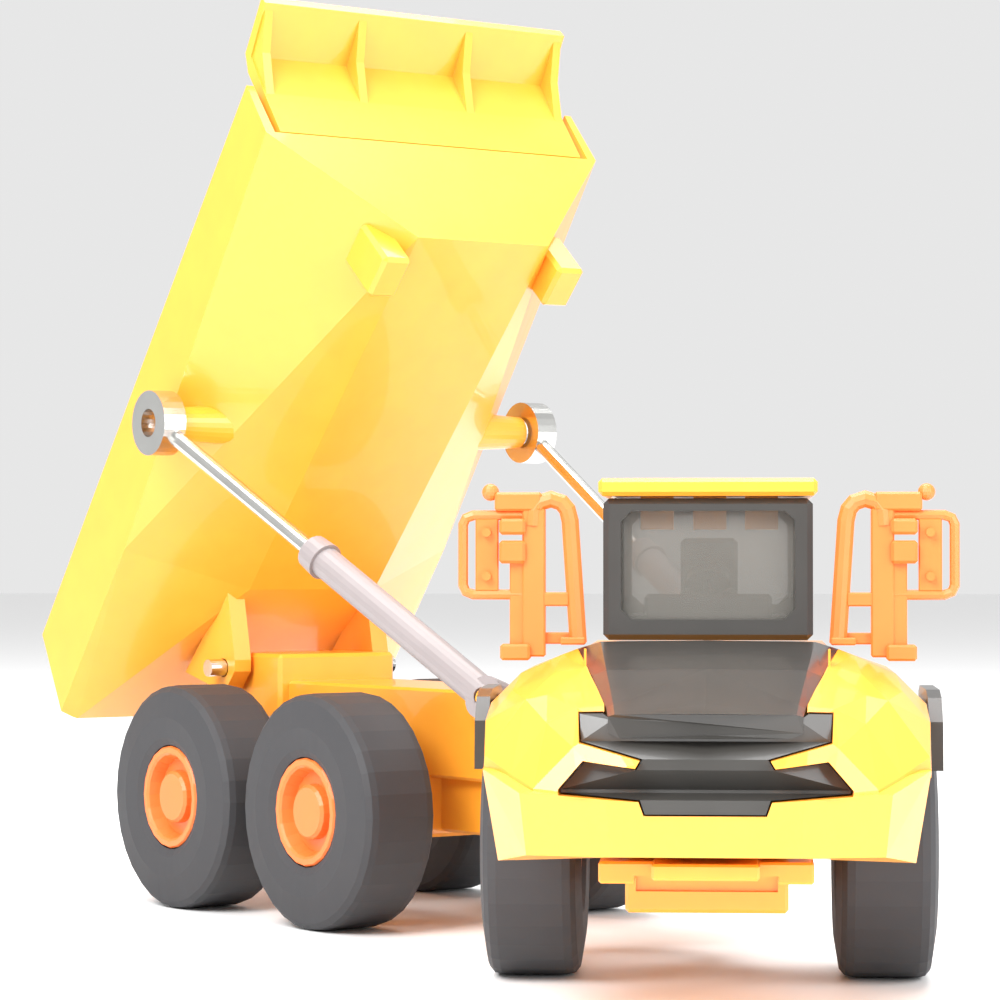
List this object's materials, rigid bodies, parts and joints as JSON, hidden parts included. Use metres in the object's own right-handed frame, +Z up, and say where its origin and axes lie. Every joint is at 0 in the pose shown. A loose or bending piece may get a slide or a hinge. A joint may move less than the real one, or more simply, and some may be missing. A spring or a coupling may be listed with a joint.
{
  "type": "toy articulated dump truck",
  "caption": "Toy articulated dump truck with a raised tipping bed, hoist cylinders, cab with rails and ribbed tyres.",
  "frame": {"origin": "centre of the bounding box at ground level", "axes": "+Z up; the front unit faces -Y and the rear unit swings towards -X"},
  "size_m": [0.0982, 0.1382, 0.096],
  "materials": {
    "orange_paint": "glossy toy paint",
    "orange_plastic": "moulded satin",
    "dark_plastic": "gloss moulded",
    "black_plastic": "gloss moulded",
    "cab_plastic": "gloss moulded",
    "smoke_glass": "clear, lightly smoked",
    "tyre_rubber": "matt moulded rubber",
    "bright_steel": "bright plated",
    "barrel_grey": "satin grey"
  },
  "bodies": {
    "front_unit": {"front_body": "orange_paint", "hood_grille": "dark_plastic", "front_chassis": "orange_paint", "hitch_pin": "bright_steel", "cab_frame": "cab_plastic", "cab_glazing": "smoke_glass", "cab_roof": "orange_paint", "cab_interior": "black_plastic", "right_rail": "orange_plastic", "left_rail": "orange_plastic", "right_mudguard": "black_plastic", "left_mudguard": "black_plastic"},
    "rear_unit": {"rear_chassis": "orange_paint", "bed_pin": "bright_steel"},
    "bed": {"dump_bed": "orange_paint", "spill_guard": "orange_paint"},
    "right_barrel": {"right_barrel": "barrel_grey"},
    "right_rod": {"right_rod": "bright_steel"},
    "left_barrel": {"left_barrel": "barrel_grey"},
    "left_rod": {"left_rod": "bright_steel"},
    "front_wheels": {"front_axle": "bright_steel", "front_right_hub": "orange_plastic", "front_right_tyre": "tyre_rubber", "front_left_hub": "orange_plastic", "front_left_tyre": "tyre_rubber"},
    "middle_wheels": {"middle_axle": "bright_steel", "middle_right_hub": "orange_plastic", "middle_right_tyre": "tyre_rubber", "middle_left_hub": "orange_plastic", "middle_left_tyre": "tyre_rubber"},
    "rear_wheels": {"rear_axle": "bright_steel", "rear_right_hub": "orange_plastic", "rear_right_tyre": "tyre_rubber", "rear_left_hub": "orange_plastic", "rear_left_tyre": "tyre_rubber"}
  },
  "joints": [
    {"name": "articulation", "type": "hinge", "parent": "front_unit", "child": "rear_unit", "pos_m": [0.0274, -0.0164, 0.0132], "axis": [0, 0, 1], "range_deg": [-85, 5]},
    {"name": "bed_tip", "type": "hinge", "parent": "rear_unit", "child": "bed", "pos_m": [-0.01888, 0.03876, 0.0256], "axis": [-0.766, -0.6428, 0], "range_deg": [-48, 0]},
    {"name": "right_barrel_swing", "type": "hinge", "parent": "rear_unit", "child": "right_barrel", "pos_m": [0.00667, -0.01892, 0.0243], "axis": [0.5277, 0.8035, -0.2757], "range_deg": [-10.95, 0]},
    {"name": "right_rod_slide", "type": "slide", "parent": "right_barrel", "child": "right_rod", "axis": [-0.6501, 0.5909, 0.4777], "range_m": [-0.02126, 0]},
    {"name": "left_barrel_swing", "type": "hinge", "parent": "rear_unit", "child": "left_barrel", "pos_m": [0.03348, 0.00358, 0.0243], "axis": [0.8829, 0.3801, 0.2757], "range_deg": [-10.95, 0]},
    {"name": "left_rod_slide", "type": "slide", "parent": "left_barrel", "child": "left_rod", "axis": [-0.469, 0.7429, 0.4777], "range_m": [-0.02126, 0]},
    {"name": "front_wheels_spin", "type": "hinge", "parent": "front_unit", "child": "front_wheels", "pos_m": [0.0274, -0.0309, 0.012], "axis": [1, 0, 0], "continuous": true},
    {"name": "middle_wheels_spin", "type": "hinge", "parent": "rear_unit", "child": "middle_wheels", "pos_m": [0.0013, 0.0147, 0.012], "axis": [0.766, 0.6428, 0], "continuous": true},
    {"name": "rear_wheels_spin", "type": "hinge", "parent": "rear_unit", "child": "rear_wheels", "pos_m": [-0.01599, 0.03531, 0.012], "axis": [0.766, 0.6428, 0], "continuous": true}
  ],
  "couplings": [
    {"joint": "right_barrel_swing", "follows": "bed_tip", "ratio": 0.22794},
    {"joint": "right_rod_slide", "follows": "bed_tip", "m_per_rad": 0.025361},
    {"joint": "left_barrel_swing", "follows": "bed_tip", "ratio": 0.22794},
    {"joint": "left_rod_slide", "follows": "bed_tip", "m_per_rad": 0.025361}
  ]
}
